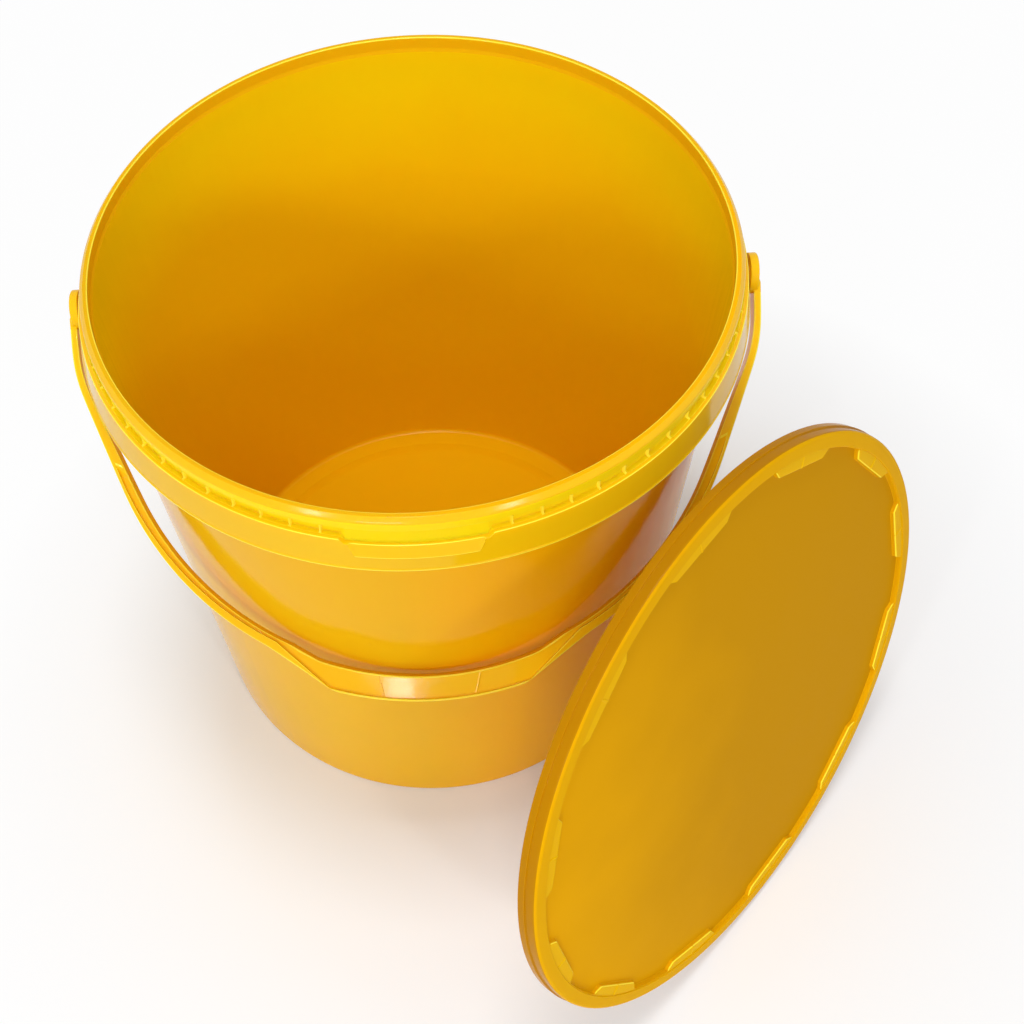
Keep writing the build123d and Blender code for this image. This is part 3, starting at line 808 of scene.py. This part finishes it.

# %% [markdown]
# ## The bucket's finishes
# One moulding does not look the same all over. The wall outside is polished and the inside is a
# little hazier. The neck and collar are a lighter lemon, painted glow on top of their real subsurface
# scattering, for light through the thin plastic, and the edges carry pale painted highlights. Each
# pair of yellows is a light and a deep one. In the photograph's light the wall turns orange towards
# the front right, and the inside goes from lemon at the top to orange below. A slow painted shade in
# the colour stands for that, which is easier to steer than still more lamps.

# %% Plastics of the bucket
UPRIGHT_DRAW, LEVEL_DRAW, FLOOR_DRAW = (260, 260, 6), (40, 40, 200), (60, 60, 60)
# The wall's deep yellow is painted shade, reached towards the front right.
WALL_YELLOW_TO_PAINTED_SHADE = ((0.79, 0.43, 0.004), (0.93, 0.44, 0.001))
# The collar's lighter lemon is painted glow, standing for light through the thin plastic, on top of its
# subsurface scattering.
COLLAR_PAINTED_GLOW = ((0.88, 0.505, 0.004), (0.86, 0.48, 0.003))
# The inside's pair runs from a lit lemon at the top to painted shade lower down.
INSIDE_LIT_TO_PAINTED_SHADE = ((0.95, 0.64, 0.002), (0.91, 0.545, 0.002))
# The neck's bright lemon is painted glow that lifts the groove shaded by the bead, on top of its strong
# subsurface scattering.
NECK_PAINTED_GLOW = ((0.99, 0.66, 0.006), (0.98, 0.64, 0.005))
# The pale yellow is a painted highlight for faces along edges, ribs, rails and lugs.
PAINTED_HIGHLIGHT = ((0.99, 0.80, 0.05), (0.98, 0.76, 0.04))
FLOOR_ORANGE = ((0.93, 0.52, 0.002), (0.91, 0.49, 0.002))
# Direction and reach of the wall's painted shade: darker towards the front right.
painted_shade_front_right = (Vector((0.77, -0.64, 0)), 0.085, 0.15)
# Direction and reach of the inside's painted shade: darker lower down.
painted_shade_downward = (Vector((0, 0, -1)), -0.29, -0.16)
SHELL = 0.005
bucket_finishes = [
    moulded_plastic("wall_plastic", WALL_YELLOW_TO_PAINTED_SHADE, UPRIGHT_DRAW, 0.11, 1.13, depth=SHELL, painted_shade=painted_shade_front_right),
    moulded_plastic("collar_painted_glow_plastic", COLLAR_PAINTED_GLOW, LEVEL_DRAW, 0.13, 1.27, glow=0.4, depth=SHELL),
    moulded_plastic("inside_plastic", INSIDE_LIT_TO_PAINTED_SHADE, UPRIGHT_DRAW, 0.22, 1.2, depth=SHELL, painted_shade=painted_shade_downward),
    moulded_plastic("neck_painted_glow_plastic", NECK_PAINTED_GLOW, LEVEL_DRAW, 0.16, 1.15, glow=1.0, depth=0.008),
    moulded_plastic("painted_highlight_plastic", PAINTED_HIGHLIGHT, LEVEL_DRAW, 0.13, 1.27, glow=0.4, depth=SHELL),
    moulded_plastic("floor_plastic", FLOOR_ORANGE, FLOOR_DRAW, 0.2, 1.2, depth=SHELL),
]
print("bucket finishes:", [finish.name for finish in bucket_finishes])

# %% [markdown]
# ## Zones of the bucket
# Painting the zones by hand would not survive a change of size, so each face picks its finish
# from where its centre sits. The fine pale lines along the collar are painted highlights on faces
# close to a few edges of the section, and the neck's ribs get them too, away from the notch.

# %% Which finish a face of the bucket takes
WALL_ZONE, COLLAR_ZONE, INSIDE_ZONE, NECK_ZONE, PAINTED_HIGHLIGHT_ZONE, FLOOR_ZONE = range(6)
PAINTED_HIGHLIGHT_WIDTH, NOTCH_TURN, NOTCH_LINE_OUT, INSIDE_FLOOR_Z = 0.45, 12, 1.5, 5
BEAD_SKIN, BEAD_TOP, NECK_SKIN = 0.4, 2.6, 0.2
pad_top_z = PAD_LOW_Z + PAD_RAISE
# Faces near these section edges get the painted highlight.
painted_highlight_edges = [
    (LIP_R, LIP_Z), (BEAD_R, BEAD_LOW), (LAND_R, COLLAR_Z), (COLLAR_R, COLLAR_Z),
    (LAND_R + NOTCH_LINE_OUT, NOTCH_Z), (skirt_outside(pad_top_z) + PAD_OUT * PAD_RAISE, pad_top_z),
    (SKIRT_R, SKIRT_Z + ROLL),
]


# The neck's ribs take the painted highlight, and the rest of the neck the painted glow.
def neck_zone(centre):
    turn = math.degrees(math.atan2(centre.y, centre.x)) + 90
    beside = abs((turn + RIB_PITCH / 2) % RIB_PITCH - RIB_PITCH / 2)
    return PAINTED_HIGHLIGHT_ZONE if beside < RIB_HALF_FOOT and abs(turn) > NOTCH_TURN else NECK_ZONE


def bucket_zone(centre):
    r, z = math.hypot(centre.x, centre.y) / MM, centre.z / MM
    # Painted highlight along the listed edges.
    if min(math.hypot(r - edge_r, z - edge_z) for edge_r, edge_z in painted_highlight_edges) < PAINTED_HIGHLIGHT_WIDTH:
        return PAINTED_HIGHLIGHT_ZONE
    # The bead side and the neck take the painted glow.
    if r > BEAD_R - BEAD_SKIN and BEAD_LOW < z < LIP_Z - BEAD_TOP:
        return NECK_ZONE
    if NECK_R - NECK_SKIN < r < LAND_R and NOTCH_Z - NECK_SKIN < z < BEAD_LOW - 0.1:
        return neck_zone(centre)
    if z > LIP_Z - 0.05 and LIP_R + BEAD_SKIN < r:
        return WALL_ZONE
    if r > wall_outside(z) + 0.3 or z > NECK_Z:
        return COLLAR_ZONE
    if z > UNDERSIDE_Z + 0.1 and r < wall_outside(z) - WALL / 2:
        return FLOOR_ZONE if z < INSIDE_FLOOR_Z else INSIDE_ZONE
    return WALL_ZONE


print("pale edges on the bucket:", len(painted_highlight_edges))

# %% [markdown]
# ## The handle's finishes
# The handle is glossier than the bucket. Light gathers along the rounded edges of its rails, and
# that is painted in as a paler colour, a painted highlight. A face belongs to such an edge if it
# lies just below the bar's broad face, measured in the flat plan in which the handle was drawn.

# %% Plastics and zones of the handle
HANDLE_ZONE, RAIL_PAINTED_HIGHLIGHT_ZONE = range(2)
ARM_DRAW = (90, 90, 90)
SUNNY = ((0.94, 0.56, 0.008), (0.92, 0.53, 0.006))
# Faces between these depths along the rails get the painted highlight.
RAIL_HIGHLIGHT_LOW, RAIL_HIGHLIGHT_HIGH, PAST_EYE_Y = BAR_HALF - 0.5, BAR_HALF - 0.02, -10
handle_finishes = [
    moulded_plastic("handle_plastic", SUNNY, ARM_DRAW, 0.06, 1.2),
    moulded_plastic("handle_painted_highlight_plastic", PAINTED_HIGHLIGHT, ARM_DRAW, 0.13, 1.27),
]


def handle_zone(centre):
    drawn = Matrix.Rotation(-HANG, 4, "X") @ (centre - pin_line) / MM
    # Painted highlight on the rail edges.
    on_painted_highlight = RAIL_HIGHLIGHT_LOW < abs(drawn.z) < RAIL_HIGHLIGHT_HIGH and drawn.y < PAST_EYE_Y
    return RAIL_PAINTED_HIGHLIGHT_ZONE if on_painted_highlight else HANDLE_ZONE


print("handle finishes:", [finish.name for finish in handle_finishes])

# %% [markdown]
# ## The lid's finishes
# The lid's panel has a soft sheen while its ring is glossier. Its side and back wear a darker
# painted shade, and the lugs' edges a pale painted highlight. In the photograph's light the panel
# darkens from one side to the other, and a slow painted shade across it stands for that.

# %% Plastics of the lid
LID_DRAW = (60, 60, 60)
HONEY = ((0.75, 0.38, 0.002), (0.72, 0.355, 0.002))
# The panel's pair runs from lit yellow to painted shade across the lid.
PANEL_YELLOW_TO_PAINTED_SHADE = ((0.79, 0.375, 0.001), (0.58, 0.272, 0.002))
# The lid's side and back wear this darker colour as painted shade.
LID_SIDE_PAINTED_SHADE = ((0.50, 0.215, 0.001), (0.46, 0.195, 0.001))
MELLOW = ((0.80, 0.44, 0.002), (0.77, 0.415, 0.002))
PANEL_REACH = 0.14
lid_middle = lid_centre.dot(lid_side)
# Direction and reach of the panel's painted shade, from side to side.
painted_shade_sideways = (lid_side, lid_middle - PANEL_REACH, lid_middle + PANEL_REACH)
lid_finishes = [
    moulded_plastic("lid_ring_plastic", HONEY, LID_DRAW, 0.14, 1.04),
    moulded_plastic("lid_panel_plastic", PANEL_YELLOW_TO_PAINTED_SHADE, LID_DRAW, 0.36, 1.035, glow=0.0, painted_shade=painted_shade_sideways),
    moulded_plastic("lid_side_painted_shade_plastic", LID_SIDE_PAINTED_SHADE, LID_DRAW, 0.16, 1.1, glow=0.2),
    moulded_plastic("lid_lug_plastic", MELLOW, LID_DRAW, 0.14, 1.05),
    moulded_plastic("lid_painted_highlight_plastic", PAINTED_HIGHLIGHT, LID_DRAW, 0.13, 1.1),
]
print("lid finishes:", [finish.name for finish in lid_finishes])

# %% [markdown]
# ## Zones of the lid
# The lid now stands on its edge, where its own heights and radii are hard to read. So each face's
# centre is turned back into the flat plan in which the lid was drawn, and sorted there.

# %% Which finish a face of the lid takes
RING_ZONE, PANEL_ZONE, RIM_PAINTED_SHADE_ZONE, LUG_ZONE, LUG_PAINTED_HIGHLIGHT_ZONE = range(5)
RIM_FROM_R, LUG_TOP_FROM, LUG_HIGHLIGHT_FROM = 156.1, LUG_Z - 0.05, LUG_Z - 0.6


def lid_zone(centre):
    drawn = stand.inverted() @ (centre - lid_centre) / MM
    r, z = math.hypot(drawn.x, drawn.y), drawn.z
    # The side and the back take the painted shade.
    if r > RIM_FROM_R or z < PANEL_Z - 0.3:
        return RIM_PAINTED_SHADE_ZONE
    if z < PANEL_Z + 0.1 and r < RING_IN:
        return PANEL_ZONE
    # The lugs' slanted walls take the painted highlight.
    if r < RECESS_R - 0.2 and z > LUG_HIGHLIGHT_FROM:
        return LUG_ZONE if z > LUG_TOP_FROM else LUG_PAINTED_HIGHLIGHT_ZONE
    return RING_ZONE


print("the lid's side starts at a radius of", RIM_FROM_R, "mm")

# %% [markdown]
# ## Giving each face its finish
# A Blender mesh holds a list of materials, and each face says which one it wears. That keeps
# every moulding one mesh with several finishes, as it is one piece of plastic on the real bucket.

# %% Finish the three pieces
for piece, finishes, choose in (
    (bucket, bucket_finishes, bucket_zone),
    (handle, handle_finishes, handle_zone),
    (lid, lid_finishes, lid_zone),
):
    piece.data.materials.clear()
    for finish in finishes:
        piece.data.materials.append(finish)
    for face in piece.data.polygons:
        face.material_index = choose(face.center)
    print(piece.name, "wears", len(finishes), "finishes")

# %% [markdown]
# ## Floor and backdrop
# The bucket stands on a plain white sweep. To the camera, and in reflections, the floor and the
# world are mixed with plain white, so the background stays white without more light on the
# plastic. Near the bucket the floor's own shading is kept, so a soft shadow still ties it down.

# %% White floor that keeps its shadow
FLOOR_HALF, FLOOR_DROP, PAPER = 6.0, 0.0003, 0.9
SHADOW_CENTRE = (0.07, -0.09, 0)
SHADOW_NEAR, SHADOW_FAR, SWEEP_FAR = 0.2, 0.4, 2.0
WHITE_MOST, WHITE_REST = 0.92, 0.08


def seen_ray(tree):
    ray = put(tree, "LightPath", {}).outputs
    seen = reckon(tree, ray["Is Camera Ray"], ray["Is Glossy Ray"], "MAXIMUM")
    return reckon(tree, seen, ray["Is Transmission Ray"], "MAXIMUM")


floor_form = bmesh.new()
bmesh.ops.create_grid(floor_form, x_segments=1, y_segments=1, size=FLOOR_HALF)
floor_mesh = bpy.data.meshes.new("studio_floor")
floor_form.to_mesh(floor_mesh)
floor_form.free()
studio_floor = placed("studio_floor", floor_mesh)
studio_floor.location.z = -FLOOR_DROP
paper = bpy.data.materials.new("white_sweep")
tree = empty_tree(paper)
matt = put(tree, "BsdfDiffuse", {"Color": (PAPER, PAPER, PAPER, 1)})
white = put(tree, "Emission", {"Color": (1, 1, 1, 1), "Strength": 1.0})
place = put(tree, "TexCoord", {}).outputs["Object"]
apart = put(tree, "VectorMath", {0: place, 1: SHADOW_CENTRE}, operation="DISTANCE").outputs["Value"]
most = spread(tree, apart, SHADOW_NEAR, SHADOW_FAR, 0.0, WHITE_MOST)
rest = spread(tree, apart, SHADOW_FAR, SWEEP_FAR, 0.0, WHITE_REST)
share = reckon(tree, seen_ray(tree), reckon(tree, most, rest, "ADD"), "MULTIPLY")
put(tree, "OutputMaterial", {"Surface": mixed(tree, share, matt, white)})
floor_mesh.materials.append(paper)
print("floor laid at z =", studio_floor.location.z)

# %% [markdown]
# ## The room
# An even grey-white world lights the plastic from all round. To the camera and in reflections the
# room is plain white, which gives the white background and the pale sheen on the walls.

# %% World
ROOM_COLOUR, ROOM_STRENGTH = (0.95, 0.97, 1.0, 1), 0.48
world = bpy.data.worlds.new("studio_room")
bpy.context.scene.world = world
tree = empty_tree(world)
room = put(tree, "Background", {"Color": ROOM_COLOUR, "Strength": ROOM_STRENGTH})
white_room = put(tree, "Background", {"Color": (1, 1, 1, 1), "Strength": 1.0})
put(tree, "OutputWorld", {"Surface": mixed(tree, seen_ray(tree), room, white_room)})
print("room strength", ROOM_STRENGTH)

# %% [markdown]
# ## Lamps
# Five soft boxes stand in front of the bucket, placed by their bearing and their height above
# level in degrees. Two narrow ones and a slim one between them draw the streaks on the wall and
# the grip. A high square one lights what faces up, and a low wide one reaches over the front lip
# to the far inside wall. A sixth hangs overhead and shines down into the bucket. Fewer lamps would
# be simpler, but without the low one the inside looked flat.

# %% Soft boxes
LAMP_AIM, LAMP_AWAY = Vector((0, -0.1, 0.3)), 2.2
TOP_PLACE, TOP_AIM = Vector((0.0, 0.02, 2.1)), Vector((0, 0, 0))


def soft_box(name, place, target, size, power):
    lamp = bpy.data.lights.new(name, "AREA")
    lamp.shape = "RECTANGLE"
    lamp.size, lamp.size_y = size
    lamp.energy = power
    box = placed(name, lamp)
    box.location = place
    box.rotation_euler = (place - target).to_track_quat("Z", "Y").to_euler()
    return box


def front_box(name, bearing, height, size, power):
    turn, rise = math.radians(bearing), math.radians(height)
    level = math.cos(rise)
    way = Vector((math.sin(turn) * level, -math.cos(turn) * level, math.sin(rise)))
    return soft_box(name, LAMP_AIM + way * LAMP_AWAY, LAMP_AIM, size, power)


lamps = [
    front_box("left_window", -33, 28, (0.16, 0.3), 5),
    front_box("middle_window", -4, 39, (0.05, 0.2), 2.2),
    front_box("right_window", 28, 29, (0.16, 0.3), 5),
    front_box("high_window", -4, 55, (0.4, 0.4), 8),
    front_box("front_window", -12, 20, (0.5, 0.35), 9.5),
    soft_box("top_window", TOP_PLACE, TOP_AIM, (0.5, 0.5), 12),
]
print("lamps:", [lamp.name for lamp in lamps])

# %% [markdown]
# ## Camera
# The camera looks down over the front of the bucket from about sixty degrees. Its place and its
# three axes were worked out from the outlines of the lip, the base and the lid, and a small
# shift frames the picture as the photograph is framed. Aiming it by eye would be quicker, but the
# three outlines would hardly all fit.

# %% Camera
FOCAL_PIXELS, PHOTO_PIXELS, SENSOR = 1326.85, 1024, 36.0
CAMERA_PLACE = (0.01635, -0.45679, 0.76154)
CAMERA_RIGHT = (0.998096, -0.016817, -0.059342)
CAMERA_UP = (0.044787, 0.859114, 0.509821)
CAMERA_BACK = (0.042407, -0.511508, 0.858232)
SHIFT_RIGHT, SHIFT_UP = 0.10697, 0.0864
camera_data = bpy.data.cameras.new("studio_camera")
camera_data.sensor_width = SENSOR
camera_data.lens = FOCAL_PIXELS * SENSOR / PHOTO_PIXELS
camera_data.shift_x, camera_data.shift_y = SHIFT_RIGHT, SHIFT_UP
camera = placed("studio_camera", camera_data)
axes = Matrix((CAMERA_RIGHT, CAMERA_UP, CAMERA_BACK)).transposed().to_4x4()
camera.matrix_world = Matrix.Translation(CAMERA_PLACE) @ axes
bpy.context.scene.camera = camera
bpy.context.scene.view_settings.view_transform = "Standard"
print("camera lens", round(camera_data.lens, 2), "mm")
